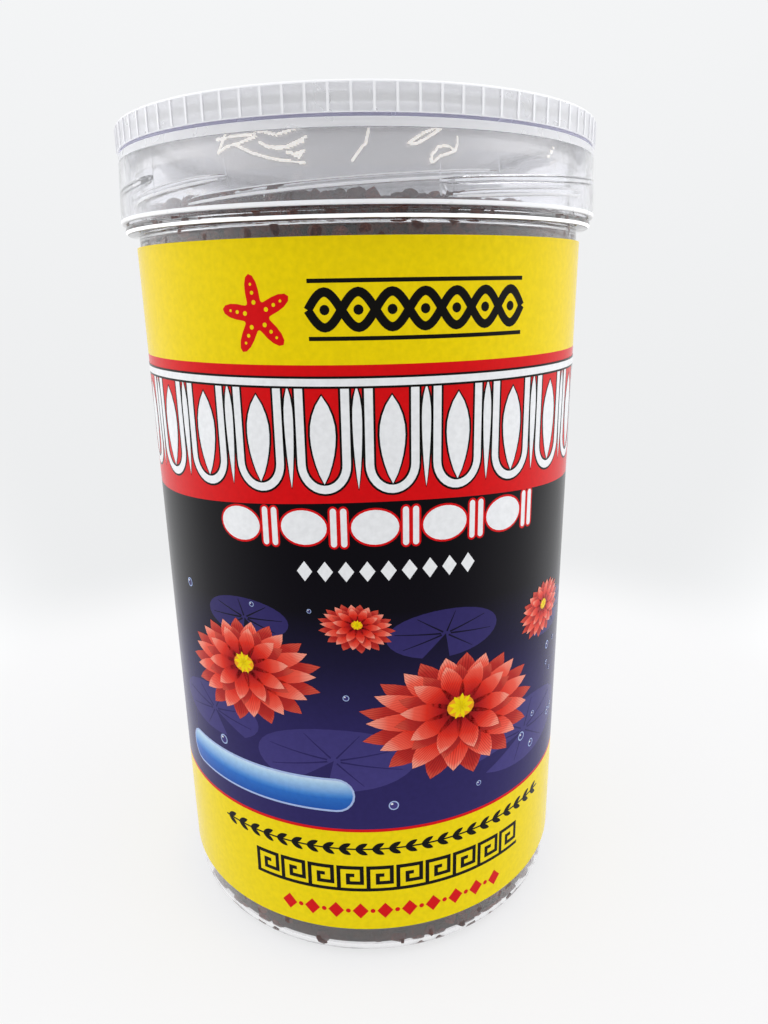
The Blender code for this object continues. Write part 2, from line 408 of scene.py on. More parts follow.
def foamed_polyethylene():
    """Foamed polyethylene sheet, die-cut: white, soft and matt, with a fine cell pattern."""
    return node_material(
        "foamed polyethylene",
        ("cells", "TexVoronoi", {"Scale": per_lump(0.7)}, OBJECT_PLACE),
        ("tone", "ValToRGB", {"stops": [(0.0, "#FCFCFD"), (0.7, "#EDEFF3")]}, {"Fac": ("cells", "Distance")}),
        ("relief", "Bump", {"Distance": 0.1 * MM}, {"Height": ("cells", "Distance")}),
        ("foam", "BsdfPrincipled", {"Roughness": 0.5, "Transmission Weight": 0.85, "IOR": 1.1},
         {"Base Color": ("tone", "Color"), "Normal": ("relief", "Normal")}),
    )


def baked_meal():
    """Extruded and baked fish meal: dry, matt, red-brown, with a crumbly skin and darker pits."""
    grain_stops = [(0.28, "#3F1209"), (0.5, "#82331E"), (0.72, "#B05F43")]
    return node_material(
        "baked meal",
        ("grain", "TexNoise", {"Scale": per_lump(0.45), "Detail": 4.0, "Roughness": 0.65}, OBJECT_PLACE),
        ("patches", "TexNoise", {"Scale": per_lump(3.5), "Detail": 1.0}, OBJECT_PLACE),
        ("grain tone", "ValToRGB", {"stops": grain_stops}, {"Fac": ("grain", "Fac")}),
        ("batch", "Attribute", {"attribute_name": "tone"}, {}),
        ("batch tone", "ValToRGB", {"stops": [(0.0, "#C4A296"), (1.0, "#FFFFFF")]},
         {"Fac": ("batch", "Fac")}),
        ("patch tone", "ValToRGB", {"stops": [(0.35, "#C8BAB4"), (0.65, "#FFFFFF")]},
         {"Fac": ("patches", "Fac")}),
        ("pellet tone", "Mix", MULTIPLY, {6: ("grain tone", "Color"), 7: ("batch tone", "Color")}),
        ("base", "Mix", MULTIPLY, {6: ("pellet tone", 2), 7: ("patch tone", "Color")}),
        ("relief", "Bump", {"Distance": 0.16 * MM}, {"Height": ("grain", "Fac")}),
        ("meal", "BsdfPrincipled", {"Roughness": 0.85, "Specular IOR Level": 0.15},
         {"Base Color": ("base", 2), "Normal": ("relief", "Normal")}),
    )


def shaded_meal():
    """The depth between the pellets: the same meal, seen in deep shade."""
    return node_material(
        "shaded meal",
        ("lumps", "TexNoise", {"Scale": per_lump(2.6), "Detail": 2.0}, OBJECT_PLACE),
        ("tone", "ValToRGB", {"stops": [(0.3, "#1C0D09"), (0.7, "#46231A")]}, {"Fac": ("lumps", "Fac")}),
        ("relief", "Bump", {"Distance": 1.0 * MM}, {"Height": ("lumps", "Fac")}),
        ("meal", "BsdfPrincipled", {"Roughness": 0.9, "Specular IOR Level": 0.2},
         {"Base Color": ("tone", "Color"), "Normal": ("relief", "Normal")}),
    )


def printed_film(name, stops, low=0.0, high=1.0):
    """Gloss-laminated label film, offset-printed: even ink with a faint mottle under a clear gloss.
    The stops give the ink's colour from the height low to the height high."""
    return node_material(
        name,
        ("axes", "SeparateXYZ", {}, OBJECT_PLACE),
        ("share", "MapRange", {"From Min": low * MM, "From Max": high * MM}, {"Value": ("axes", "Z")}),
        ("ink", "ValToRGB", {"stops": stops}, {"Fac": ("share", "Result")}),
        ("grain", "TexNoise", {"Scale": per_lump(1.1), "Detail": 3.0}, OBJECT_PLACE),
        ("mottle", "ValToRGB", {"stops": [(0.3, "#F4F4F4"), (0.7, "#FFFFFF")]}, {"Fac": ("grain", "Fac")}),
        ("base", "Mix", MULTIPLY, {6: ("ink", "Color"), 7: ("mottle", "Color")}),
        ("waves", "TexNoise", {"Scale": per_lump(14.0), "Detail": 1.0}, OBJECT_PLACE),
        ("relief", "Bump", {"Distance": 0.05 * MM}, {"Height": ("waves", "Fac")}),
        ("film", "BsdfPrincipled", {"Roughness": 0.2, "Specular IOR Level": 0.08},
         {"Base Color": ("base", 2), "Normal": ("relief", "Normal")}),
    )


PETAL_SHARES = (0.0, 0.3, 0.62, 0.88, 1.0)


def lily_petal_ink(name, *tones):
    """Printed petals: dark red at the root, vivid along the middle and pink at the tip, with veins.
    The petal's own UV map runs from its root to its tip."""
    return node_material(
        name,
        ("axes", "SeparateXYZ", {}, {"Vector": ("place", "UV")}),
        ("body", "ValToRGB", {"stops": list(zip(PETAL_SHARES, tones))}, {"Fac": ("axes", "Y")}),
        ("veins", "TexWave",
         {"wave_type": "BANDS", "bands_direction": "X", "Scale": 4.5, "Distortion": 1.2, "Detail": 1.0},
         {"Vector": ("place", "UV")}),
        ("vein tone", "ValToRGB", {"stops": [(0.0, "#C9A0A0"), (0.5, "#FFFFFF")]}, {"Fac": ("veins", "Fac")}),
        ("base", "Mix", {**MULTIPLY, 0: 0.7}, {6: ("body", "Color"), 7: ("vein tone", "Color")}),
        ("film", "BsdfPrincipled", {"Roughness": 0.2, "Specular IOR Level": 0.08},
         {"Base Color": ("base", 2)}),
    )


# The jar

def thread_ridge(name, azimuth, sweep, height, root, crest):
    """Spin a rounded section round the axis, lift it along the lead and let both ends run out."""
    bpy.ops.mesh.primitive_plane_add(
        size=1.0, location=((root + crest) / 2.0 * MM, 0.0, 0.0), rotation=(math.pi / 2.0, 0.0, 0.0)
    )
    ridge = bpy.context.object
    ridge.name = name
    ridge.scale = (abs(crest - root) * MM, RIDGE_THICKNESS * MM, 1.0)
    bpy.ops.object.transform_apply(location=True, rotation=True, scale=True)
    bpy.ops.object.mode_set(mode="EDIT")
    bpy.ops.mesh.select_mode(type="VERT")
    bpy.ops.mesh.select_all(action="DESELECT")
    shape = bmesh.from_edit_mesh(ridge.data)
    for corner in shape.verts:
        corner.select_set(abs(corner.co.x / MM - crest) < abs(corner.co.x / MM - root))
    bmesh.update_edit_mesh(ridge.data)
    bpy.ops.mesh.bevel(affect="VERTICES", offset=RIDGE_ROUNDING * MM, segments=4)
    bpy.ops.mesh.select_all(action="SELECT")
    steps = round(sweep / RIDGE_STEP)
    bpy.ops.mesh.spin(
        steps=steps, angle=math.radians(-sweep), center=(0.0, 0.0, 0.0), axis=(0.0, 0.0, 1.0)
    )
    bpy.ops.object.mode_set(mode="OBJECT")
    angles = [math.degrees(math.atan2(v.co.y, v.co.x)) for v in ridge.data.vertices]
    # The spin may turn either way, so the sweep is read from the points
    way = 1.0 if max(angles) > sweep / 2.0 else -1.0
    for vertex, angle in zip(ridge.data.vertices, angles):
        along = angle * way
        radius = math.hypot(vertex.co.x, vertex.co.y) / MM
        share = min(1.0, max(0.08, along / RIDGE_RUN_OUT), max(0.08, (sweep - along) / RIDGE_RUN_OUT))
        ease = math.sin(share * math.pi / 2.0)
        radius = root + (radius - root) * ease
        rise = height + THREAD_LEAD * along / 360.0 + vertex.co.z / MM * (0.35 + 0.65 * ease)
        vertex.co = round_point(azimuth + along, radius, rise) * MM
    bpy.ops.object.mode_set(mode="EDIT")
    bpy.ops.mesh.select_all(action="SELECT")
    bpy.ops.mesh.normals_make_consistent(inside=False)
    bpy.ops.object.mode_set(mode="OBJECT")
    return ridge


def make_jar():
    """Body with a recessed foot, shoulder, collar and threaded neck, in one piece."""
    foot_radius = body_radius(BASE_CORNER)
    corners = [
        (0.0, RECESS_RISE + WALL, 0.0),
        (RECESS_RADIUS, RECESS_RISE + WALL, 2.5),
        (FOOT_INNER_RADIUS, WALL, 2.5),
        (foot_radius - WALL, WALL, BASE_CORNER - WALL),
        (body_radius(SHOULDER_LOW) - WALL, SHOULDER_LOW, 0.9),
        (NECK_INNER_RADIUS, SHOULDER_HIGH, 0.8),
        (NECK_INNER_RADIUS, RIM, RIM_ROUNDING),
        (NECK_RADIUS, RIM, RIM_ROUNDING),
        (NECK_RADIUS, COLLAR_TOP, 0.3),
        (COLLAR_RADIUS, COLLAR_TOP, COLLAR_EDGE),
        (COLLAR_RADIUS, COLLAR_LOW + 0.2, COLLAR_EDGE),
        (body_radius(COLLAR_LOW), COLLAR_LOW, 0.4),
        (foot_radius, 0.0, BASE_CORNER),
        (FOOT_INNER_RADIUS, 0.0, 1.2),
        (RECESS_RADIUS, RECESS_RISE, 3.0),
        (GATE_RADIUS + 0.6, RECESS_RISE, 0.4),
        (GATE_RADIUS, RECESS_RISE - GATE_DROP, 0.3),
        (0.0, RECESS_RISE - GATE_DROP, 0.0),
    ]
    jar = turned("jar_body", rounded(corners), ROUND_STEPS)
    ridges = [
        thread_ridge(
            f"neck_ridge_{start}",
            THREAD_FIRST_AZIMUTH + start * 360.0 / THREAD_STARTS,
            THREAD_SWEEP,
            THREAD_START_HEIGHT,
            NECK_RADIUS - RIDGE_SUNK,
            NECK_RADIUS + THREAD_HEIGHT,
        )
        for start in range(THREAD_STARTS)
    ]
    fuse(jar, ridges)
    # The edges of the thread ridges and of the collar get a painted highlight: white faces with a faint glow.
    return finish(
        jar, [clear_pet(), highlight_pet()], lambda face: int(has_painted_highlight(face.center / MM, face.normal))
    )


def ridge_offset(azimuth, height):
    """Height above the middle of the nearest thread ridge; far off where there is none."""
    nearest = 99.0
    for start in range(THREAD_STARTS):
        along = (azimuth - THREAD_FIRST_AZIMUTH - start * 360.0 / THREAD_STARTS) % 360.0
        if along <= THREAD_SWEEP:
            offset = height - THREAD_START_HEIGHT - THREAD_LEAD * along / 360.0
            nearest = min(nearest, offset, key=abs)
    return nearest


def has_painted_highlight(place, normal):
    """Faces with the painted highlight: the edges of the thread ridges and the outer edge of the collar."""
    radius = math.hypot(place.x, place.y)
    if place.z < COLLAR_TOP:
        return radius > COLLAR_RADIUS - 0.3 and place.z < COLLAR_TOP - COLLAR_EDGE - 0.2
    if radius < NECK_RADIUS + 0.3 or abs(normal.z) > 0.95:
        return False
    offset = ridge_offset(azimuth_of(place), place.z)
    return -RIDGE_THICKNESS < offset < -0.1 or 0.42 < offset < RIDGE_THICKNESS


def make_lid():
    """Screw lid: ribbed band, raised stacking rim, flared skirt and lugs inside."""
    groove_high = LID_SKIRT_TOP + LID_GROOVE_WIDTH
    band_high = LID_HIGH - LID_LOW
    inner_low = LID_RADIUS - LID_WALL
    inner_high = LID_SKIRT_TOP_RADIUS - LID_WALL
    ring_radius = inner_low + (inner_high - inner_low) * LID_RING_HEIGHT / LID_PANEL_UNDERSIDE
    corners = [
        (0.0, LID_PANEL_TOP, 0.0),
        (LID_RIM_INNER_RADIUS - 0.4, LID_PANEL_TOP, 0.5),
        (LID_RIM_INNER_RADIUS, band_high, 0.4),
        (LID_BAND_RADIUS, band_high, 0.45),
        (LID_BAND_RADIUS, groove_high, 0.12),
        (LID_GROOVE_RADIUS, groove_high, 0.1),
        (LID_GROOVE_RADIUS, LID_SKIRT_TOP, 0.1),
        (LID_SKIRT_TOP_RADIUS, LID_SKIRT_TOP - 0.1, 0.1),
        (ring_radius + LID_WALL, LID_RING_HEIGHT - 0.2, 0.0),
        (LID_RADIUS - 0.05, LID_EDGE_LINE, 0.0),
        (LID_RADIUS, 0.0, LID_ROUNDING),
        (inner_low, 0.0, LID_ROUNDING),
        (inner_low - 0.05, LID_EDGE_LINE, 0.0),
        (ring_radius, LID_RING_HEIGHT - 0.2, 0.05),
        (ring_radius - LID_RING_DEPTH, LID_RING_HEIGHT, 0.1),
        (ring_radius, LID_RING_HEIGHT + 0.2, 0.05),
        (inner_high, LID_PANEL_UNDERSIDE, 0.6),
        (0.0, LID_PANEL_UNDERSIDE, 0.0),
    ]
    outline = [(r, h + LID_LOW) for r, h in rounded(corners)]
    steps = RIB_COUNT * STEPS_PER_RIB
    lid = turned("lid_shell", outline, steps)
    step_angle = 360.0 / steps
    low = LID_LOW + groove_high + RIB_END_MARGIN
    high = LID_HIGH - LID_ROUNDING - RIB_END_MARGIN

    def on_rib(place):
        column = int((azimuth_of(place) + 180.0) / step_angle)
        near_band = abs(math.hypot(place.x, place.y) - LID_BAND_RADIUS) < 0.05
        return near_band and low < place.z < high and column % STEPS_PER_RIB == 0

    select_only(lid)
    bpy.ops.object.mode_set(mode="EDIT")
    select_faces(on_rib)
    bpy.ops.mesh.extrude_region_shrink_fatten(
        TRANSFORM_OT_shrink_fatten={"value": RIB_HEIGHT * MM}
    )
    bpy.ops.object.mode_set(mode="OBJECT")
    lug_height = THREAD_START_HEIGHT - LUG_DROP + THREAD_LEAD * LUG_SETBACK / 360.0
    lugs = [
        thread_ridge(
            f"lid_lug_{start}",
            THREAD_FIRST_AZIMUTH + LUG_SETBACK + start * 360.0 / LUG_COUNT,
            LUG_SWEEP,
            lug_height,
            LUG_ROOT_RADIUS,
            LUG_CREST_RADIUS,
        )
        for start in range(LUG_COUNT)
    ]
    fuse(lid, lugs)
    # The edge finish is a painted highlight, near-opaque white. The last finish is painted shade, a lavender
    # tint for the groove.
    plastics = [
        natural_polypropylene("thin natural polypropylene", 0.95, 0.03, 0.09),
        natural_polypropylene("thick natural polypropylene", 0.4, 0.25, 0.4),
        natural_polypropylene("natural polypropylene with painted highlight", 0.05, 0.25, 0.4),
        natural_polypropylene("natural polypropylene with painted shade", 0.5, 0.2, 0.3, "#B7B5D2"),
    ]
    return finish(lid, plastics, lambda face: lid_finish(face.center / MM))


def lid_finish(place):
    """Which finish a face of the lid has: 0 thin, 1 thick, 2 near-opaque white, a painted highlight on the
    edges, ring, ribs, lip and rim top, 3 lavender, painted shade in the groove.
    """
    radius = math.hypot(place.x, place.y)
    height = place.z - LID_LOW
    groove_high = LID_SKIRT_TOP + LID_GROOVE_WIDTH
    if height < LID_EDGE_LINE or height > LID_PANEL_TOP + 0.15:
        return 2
    if radius < LINER_RADIUS:
        return 0
    if height < LID_SKIRT_TOP - 0.45:
        on_ring = abs(height - LID_RING_HEIGHT) < 0.3 and radius < LID_SKIRT_TOP_RADIUS - LID_WALL
        in_lug = radius < LID_SKIRT_TOP_RADIUS - LID_WALL - 0.25 and height < LID_RING_HEIGHT - 1.0
        if on_ring:
            return 2
        return int(in_lug or height > LID_RING_HEIGHT)
    if LID_SKIRT_TOP < height < groove_high:
        return 3 if radius > LID_GROOVE_RADIUS - 0.2 else 1
    # The ribs and the lip under them get the painted highlight.
    on_rib = radius > LID_BAND_RADIUS + RIB_HEIGHT * 0.4
    on_lip = radius > LID_GROOVE_RADIUS and height < groove_high + 0.25
    return 2 if on_rib or on_lip else 1


def make_liner():
    """Foam disc in the lid, pressed in a little where the rim bears on it."""
    pressed = 0.12
    corners = [
        (0.0, LINER_HIGH, 0.0),
        (LINER_RADIUS, LINER_HIGH, 0.25),
        (LINER_RADIUS, LINER_LOW, 0.25),
        (NECK_RADIUS + 0.5, LINER_LOW, 0.2),
        (NECK_RADIUS + 0.1, LINER_LOW + pressed, 0.1),
        (NECK_INNER_RADIUS - 0.1, LINER_LOW + pressed, 0.1),
        (NECK_INNER_RADIUS - 0.5, LINER_LOW, 0.2),
        (0.0, LINER_LOW, 0.0),
    ]
    return finish(turned("lid_liner", rounded(corners), ROUND_STEPS), [foamed_polyethylene()])


FILM_TOP = 166.62
FILM_SKIRT_RADIUS = 45.62
FILM_THICKNESS = 0.05
FILM_ROWS = 32
FILM_STEPS = 600
FILM_HEM = 159.5
FRONT_MIDDLE = -3.0
FRONT_HALF = 30.0
FOLD_RISE = 0.62
FOLD_WIDTH = 0.34
FOLD_LINE = 0.19

# Folds in the loose front of the film, as (azimuth, height) points
FILM_FOLDS = (
    ((-28.2, 162.3), (-26.0, 164.9), (-23.8, 166.0)),
    ((-28.2, 162.3), (-25.7, 163.1), (-22.8, 163.4), (-19.1, 164.2), (-19.3, 164.6), (-22.4, 164.5),
     (-28.3, 164.3)),
    ((-18.9, 165.0), (-17.3, 164.8), (-14.6, 164.2), (-12.0, 164.7), (-9.9, 165.1)),
    ((-18.3, 163.3), (-16.4, 162.5), (-12.6, 162.4), (-10.0, 163.2), (-8.6, 163.7)),
    ((-17.0, 162.7), (-14.6, 162.2), (-11.8, 162.4), (-9.2, 163.1)),
    ((-23.7, 163.2), (-20.3, 161.9), (-16.5, 160.9), (-12.8, 160.3), (-9.0, 159.9)),
    ((-12.6, 161.5), (-10.8, 161.3), (-9.0, 161.7)),
    ((-11.4, 161.2), (-10.2, 160.8), (-9.4, 161.5)),
    ((0.4, 160.1), (1.7, 161.4), (3.1, 162.7), (3.6, 164.5)),
    ((11.4, 162.6), (13.0, 162.5), (15.0, 163.3), (18.1, 164.8), (16.6, 164.8), (14.5, 164.1), (11.4, 162.6)),
    ((16.0, 160.0), (16.5, 159.9), (18.2, 160.8), (19.6, 161.2), (21.3, 161.6), (20.2, 162.2), (18.8, 162.4),
     (17.6, 162.1), (16.3, 161.0), (16.0, 160.0)),
    ((21.3, 161.6), (21.8, 162.7), (21.8, 163.7)),
    ((48.0, 162.0), (50.5, 164.0)),
    ((-70.0, 164.5), (-66.0, 162.8)),
    ((95.0, 163.0), (98.0, 165.0), (101.0, 164.0)),
    ((151.0, 162.4), (155.0, 164.4)),
    ((-121.0, 164.6), (-117.0, 162.6), (-112.0, 163.4)),
    ((-160.0, 163.0), (-155.0, 164.8)),
)


def fold_tree():
    """Points along the folds, 0.1 mm apart, to measure distances from."""
    points = []
    for fold in FILM_FOLDS:
        flat = [Vector((math.radians(a) * FILM_SKIRT_RADIUS, h, 0.0)) for a, h in fold]
        for here, ahead in zip(flat, flat[1:]):
            count = math.ceil((ahead - here).length / 0.1)
            points += [here.lerp(ahead, i / count) for i in range(count)]
        points.append(flat[-1])
    tree = kdtree.KDTree(len(points))
    for number, point in enumerate(points):
        tree.insert(point, number)
    tree.balance()
    return tree


def make_seal_film():
    """Film sealed over the mouth; its loose edge is turned down and creased, most at the front."""
    skirt_top = RIM - 0.3
    outline = [
        (0.0, FILM_TOP),
        (20.0, FILM_TOP),
        (38.0, FILM_TOP),
        (44.4, FILM_TOP),
        (FILM_SKIRT_RADIUS - 0.35, FILM_TOP - 0.02),
        (FILM_SKIRT_RADIUS - 0.05, FILM_TOP - 0.25),
    ]
    drop = (skirt_top - FILM_LOW) / FILM_ROWS
    outline += [(FILM_SKIRT_RADIUS, skirt_top - drop * row) for row in range(FILM_ROWS + 1)]
    film = turned("seal_film_sheet", outline, FILM_STEPS)
    folds = fold_tree()

    def fold_distance(azimuth, height):
        return folds.find(Vector((math.radians(azimuth) * FILM_SKIRT_RADIUS, height, 0.0)))[2]

    for vertex in film.data.vertices:
        point = vertex.co / MM
        depth = (skirt_top - point.z) / (skirt_top - FILM_LOW)
        # Half of the columns are drawn together at the front, where the creases are
        turn = azimuth_of(point)
        if abs(turn) <= 90.0:
            azimuth = FRONT_MIDDLE + turn * FRONT_HALF / 90.0
        else:
            spread = (180.0 - FRONT_HALF) / 90.0
            azimuth = FRONT_MIDDLE + math.copysign(FRONT_HALF + (abs(turn) - 90.0) * spread, turn)
        if depth < -0.01:
            radius = math.hypot(point.x, point.y)
            sag = 0.12 * (noise.noise(point / 14.0) - 0.5) * (1.0 - radius / 46.0)
            vertex.co = round_point(azimuth, radius, point.z + sag) * MM
            continue
        excess = min(1.0, max(0.0, (FRONT_HALF - 2.0 - abs(azimuth - FRONT_MIDDLE)) / 5.0))
        ragged = noise.noise(Vector((azimuth / 4.0, 3.0, 0.0)))
        hem = FILM_HEM + (1.0 - excess) * 2.6 + ragged * 0.35
        height = skirt_top - max(0.0, depth) * (skirt_top - hem)
        loose = 0.3 + 0.7 * excess
        billow = 0.5 + 0.5 * noise.noise(Vector((azimuth / 5.0, height / 3.0, 7.0)))
        fold = math.exp(-(fold_distance(azimuth, height) / FOLD_WIDTH) ** 2)
        reach = min(1.0, max(0.0, depth) * 6.0) * loose
        radius = FILM_SKIRT_RADIUS + reach * (0.1 * billow + FOLD_RISE * fold)
        vertex.co = round_point(azimuth, radius, height) * MM
    film.data.materials.append(sealing_film())
    film.data.materials.append(creased_film_painted_glint())
    # Faces along the folds take the creased film: whitened, with a painted highlight that glows along each
    # fold.
    for face in film.data.polygons:
        middle = face.center / MM
        on_skirt = middle.z < skirt_top
        face.material_index = int(on_skirt and fold_distance(azimuth_of(middle), middle.z) < FOLD_LINE)
    thickness = film.modifiers.new("thickness", "SOLIDIFY")
    thickness.thickness = FILM_THICKNESS * MM
    thickness.offset = 1.0
    apply_modifier(film, thickness)
    shade(film, 50.0)
    return film


# Pellets

def inner_radius(height):
    """Inner radius of the jar."""
    if height < BASE_CORNER:
        reach = BASE_CORNER - WALL
        rise = max(0.0, min(reach, height - WALL))
        return body_radius(BASE_CORNER) - BASE_CORNER + math.sqrt(reach ** 2 - (reach - rise) ** 2)
    if height < SHOULDER_LOW:
        return body_radius(height) - WALL
    share = min(1.0, (height - SHOULDER_LOW) / (SHOULDER_HIGH - SHOULDER_LOW))
    low_radius = body_radius(SHOULDER_LOW) - WALL
    return low_radius + (NECK_INNER_RADIUS - low_radius) * share


def floor_height(radius):
    """Height of the jar's inner floor."""
    share = (FOOT_INNER_RADIUS - radius) / (FOOT_INNER_RADIUS - RECESS_RADIUS)
    return WALL + RECESS_RISE * min(1.0, max(0.0, share))


HEAP_LEVEL = 154.7
HEAP_RISE = 1.5
HEAP_TILT = 1.9
HEAP_TILT_AZIMUTH = -35.0
CRUST_DEPTH = 5.6


def heap_level(point):
    """Height of the heap's surface: domed, and higher towards the front left."""
    reach = NECK_INNER_RADIUS
    towards = round_point(HEAP_TILT_AZIMUTH, 1.0, 0.0)
    lean = (point.x * towards.x + point.y * towards.y) / reach
    dome = 1.0 - (point.x ** 2 + point.y ** 2) / reach ** 2
    ripple = 0.5 * noise.noise(Vector((point.x / 9.0, point.y / 9.0, 1.0)))
    return HEAP_LEVEL + HEAP_TILT * lean + HEAP_RISE * dome + ripple


def held_in(point, low, high):
    """The nearest place between two heights and inside the wall."""
    height = min(max(point.z, low), high)
    limit = inner_radius(height) - PELLET_RADIUS
    radius = math.hypot(point.x, point.y)
    scale = min(1.0, limit / radius) if radius > 0.0 else 1.0
    return Vector((point.x * scale, point.y * scale, height))


def in_crust(point):
    """Hold a pellet in the top layers and in the ring by the wall just below them."""
    radius = math.hypot(point.x, point.y)
    level = heap_level(point) - PELLET_RADIUS * 0.9
    low = CRUST_LOW if radius > NECK_INNER_RADIUS - 7.0 else level - CRUST_DEPTH
    return held_in(point, low, level)


def in_sole(point):
    """Hold a pellet in the lowest layer and in the ring by the wall just above it."""
    radius = math.hypot(point.x, point.y)
    low = floor_height(radius) + PELLET_RADIUS
    high = SOLE_HIGH if radius > NECK_INNER_RADIUS - 6.0 else low + 1.5
    return held_in(point, low, high)


def settled(count, low, high, hold, seed):
    """Scatter places and push them apart until they lie like loose pellets."""
    draw = random.Random(seed)
    places = []
    while len(places) < count:
        angle = draw.uniform(0.0, math.tau)
        radius = 44.0 * math.sqrt(draw.random())
        place = Vector((radius * math.cos(angle), radius * math.sin(angle), draw.uniform(low, high)))
        if (hold(place) - place).length < 0.5:
            places.append(place)
    spacing = PELLET_RADIUS * 1.98
    for _ in range(SETTLE_ROUNDS):
        tree = kdtree.KDTree(count)
        for number, place in enumerate(places):
            tree.insert(place, number)
        tree.balance()
        moved = []
        for place in places:
            push = Vector((0.0, 0.0, -0.02))
            for other, _number, distance in tree.find_range(place, spacing):
                if distance > 0.001:
                    push += (place - other) * (0.45 * (spacing - distance) / distance)
            moved.append(hold(place + push))
        places = moved
    return places


def pellet_shapes(count):
    """A few different pellets: short rods with broken, rounded ends."""
    shapes = []
    draw = random.Random(5)
    for number in range(count):
        length = PELLET_LENGTH * draw.uniform(0.88, 1.14)
        radius = PELLET_RADIUS * draw.uniform(0.93, 1.06)
        bpy.ops.mesh.primitive_cylinder_add(vertices=9, radius=radius * MM, depth=length * MM)
        pellet = bpy.context.object
        bpy.ops.object.mode_set(mode="EDIT")
        bpy.ops.mesh.select_mode(type="FACE")
        select_faces(lambda place: abs(place.z) > 0.4 * length)
        bpy.ops.mesh.bevel(offset=0.5 * MM, segments=2)
        bpy.ops.object.mode_set(mode="OBJECT")
        for vertex in pellet.data.vertices:
            shift = noise.noise_vector(vertex.co / (1.1 * MM) + Vector((9.0 * number, 0.0, 0.0)))
            vertex.co += shift * 0.16 * MM
        tone = pellet.data.attributes.new("tone", "FLOAT", "POINT")
        tone.data.foreach_set("value", [number / (count - 1)] * len(pellet.data.vertices))
        shapes.append(pellet.data)
        bpy.data.objects.remove(pellet)
    return shapes


def pellet_layer(name, places, shapes, material, seed):
    """Set a turned copy of a pellet at each place and join them."""
    draw = random.Random(seed)
    layer = bmesh.new()
    for place in places:
        turn = Euler([draw.uniform(0.0, math.tau) for _ in range(3)]).to_matrix().to_4x4()
        copy = draw.choice(shapes).copy()
        copy.transform(Matrix.Translation(place * MM) @ turn)
        layer.from_mesh(copy)
        bpy.data.meshes.remove(copy)
    mesh = bpy.data.meshes.new(name)
    layer.to_mesh(mesh)
    layer.free()
    piece = bpy.data.objects.new(name, mesh)
    bpy.context.scene.collection.objects.link(piece)
    return finish(piece, [material], angle=60.0)


def make_pellets():
    """The pellets that show, over a dark core that closes the view between them."""
    material = baked_meal()
    shapes = pellet_shapes(PELLET_KINDS)
    crust = settled(CRUST_COUNT, CRUST_LOW, CRUST_HIGH, in_crust, 21)
    crust.sort(key=lambda place: place.z)
    half = len(crust) // 2
    sole = settled(SOLE_COUNT, WALL, SOLE_HIGH, in_sole, 22)
    pieces = [
        pellet_layer("pellets_upper", crust[half:], shapes, material, 31),
        pellet_layer("pellets_lower", crust[:half], shapes, material, 32),
        pellet_layer("pellets_foot", sole, shapes, material, 33),
    ]
    core_radius = inner_radius(80.0) - 2.2
    corners = [
        (0.0, HEAP_LEVEL - 1.2, 0.0),
        (NECK_INNER_RADIUS - 4.0, HEAP_LEVEL - 3.0, 3.0),
        (NECK_INNER_RADIUS - 0.9, SHOULDER_LOW - 0.4, 1.5),
        (core_radius, 142.0, 3.0),
        (core_radius, 16.0, 8.0),
        (inner_radius(8.0) - 0.5, 8.0, 2.0),
        (inner_radius(8.0) - 0.9, 1.4, 2.8),
        (FOOT_INNER_RADIUS + 0.5, 1.4, 1.0),
        (RECESS_RADIUS, 5.6, 2.0),
        (0.0, 5.6, 0.0),
    ]
    core = turned("pellets_core", rounded(corners), ROUND_STEPS // 2)
    return finish(core, [shaded_meal()]), pieces


# Label

def red_band_edge(azimuth):
    """Lower edge of the red band: it arches up at the middle of the label."""
    off = abs((azimuth - LABEL_MIDDLE + 180.0) % 360.0 - 180.0)
    if off > ARCH_HALF_WIDTH:
        return RED_BAND_LOW
    return RED_BAND_LOW + RED_BAND_ARCH * (1.0 + math.cos(math.pi * off / ARCH_HALF_WIDTH)) / 2.0


PILL_LOW = 38.0
PILL_HIGH = 45.9
FLAT_INKS = {
    "red": "#D90A10", "black": "#0B0907", "white": "#F1F2F4", "pale blue": "#A9BCE6", "cream": "#EFEBD6",
    "orange": "#F2A01E",
}
SHADED_INKS = {
    "yellow": ([(0.0, "#F3D900"), (1.0, "#F1D400")], LABEL_LOW, LABEL_HIGH),
    "deep blue": (
        [(0.0, "#2D2660"), (0.35, "#292258"), (0.55, "#171234"), (0.72, "#07040E"), (1.0, "#050308")],
        RED_LINE_HIGH, RED_BAND_LOW,
    ),
    "sky blue": (
        [(0.0, "#1C4FA6"), (0.4, "#2C6DC2"), (0.5, "#4C8AD2"), (0.82, "#A9CDEC"), (1.0, "#D3E6F6")],
        PILL_LOW, PILL_HIGH,
    ),
    "slate blue": ([(0.0, "#453E80"), (1.0, "#2E275E")], 34.0, 84.0),
}
INKS = {
    name: printed_film(f"{name} label film", [(0.0, code), (1.0, code)]) for name, code in FLAT_INKS.items()
}
INKS |= {name: printed_film(f"{name} label film", *tones) for name, tones in SHADED_INKS.items()}
INKS["petal"] = lily_petal_ink("printed petal film", "#4A0308", "#B01114", "#E0301F", "#F2604C", "#F9A28C")
INKS["dark petal"] = lily_petal_ink(
    "shaded petal film", "#250106", "#64080F", "#9C1314", "#B92A24", "#D0503F"
)


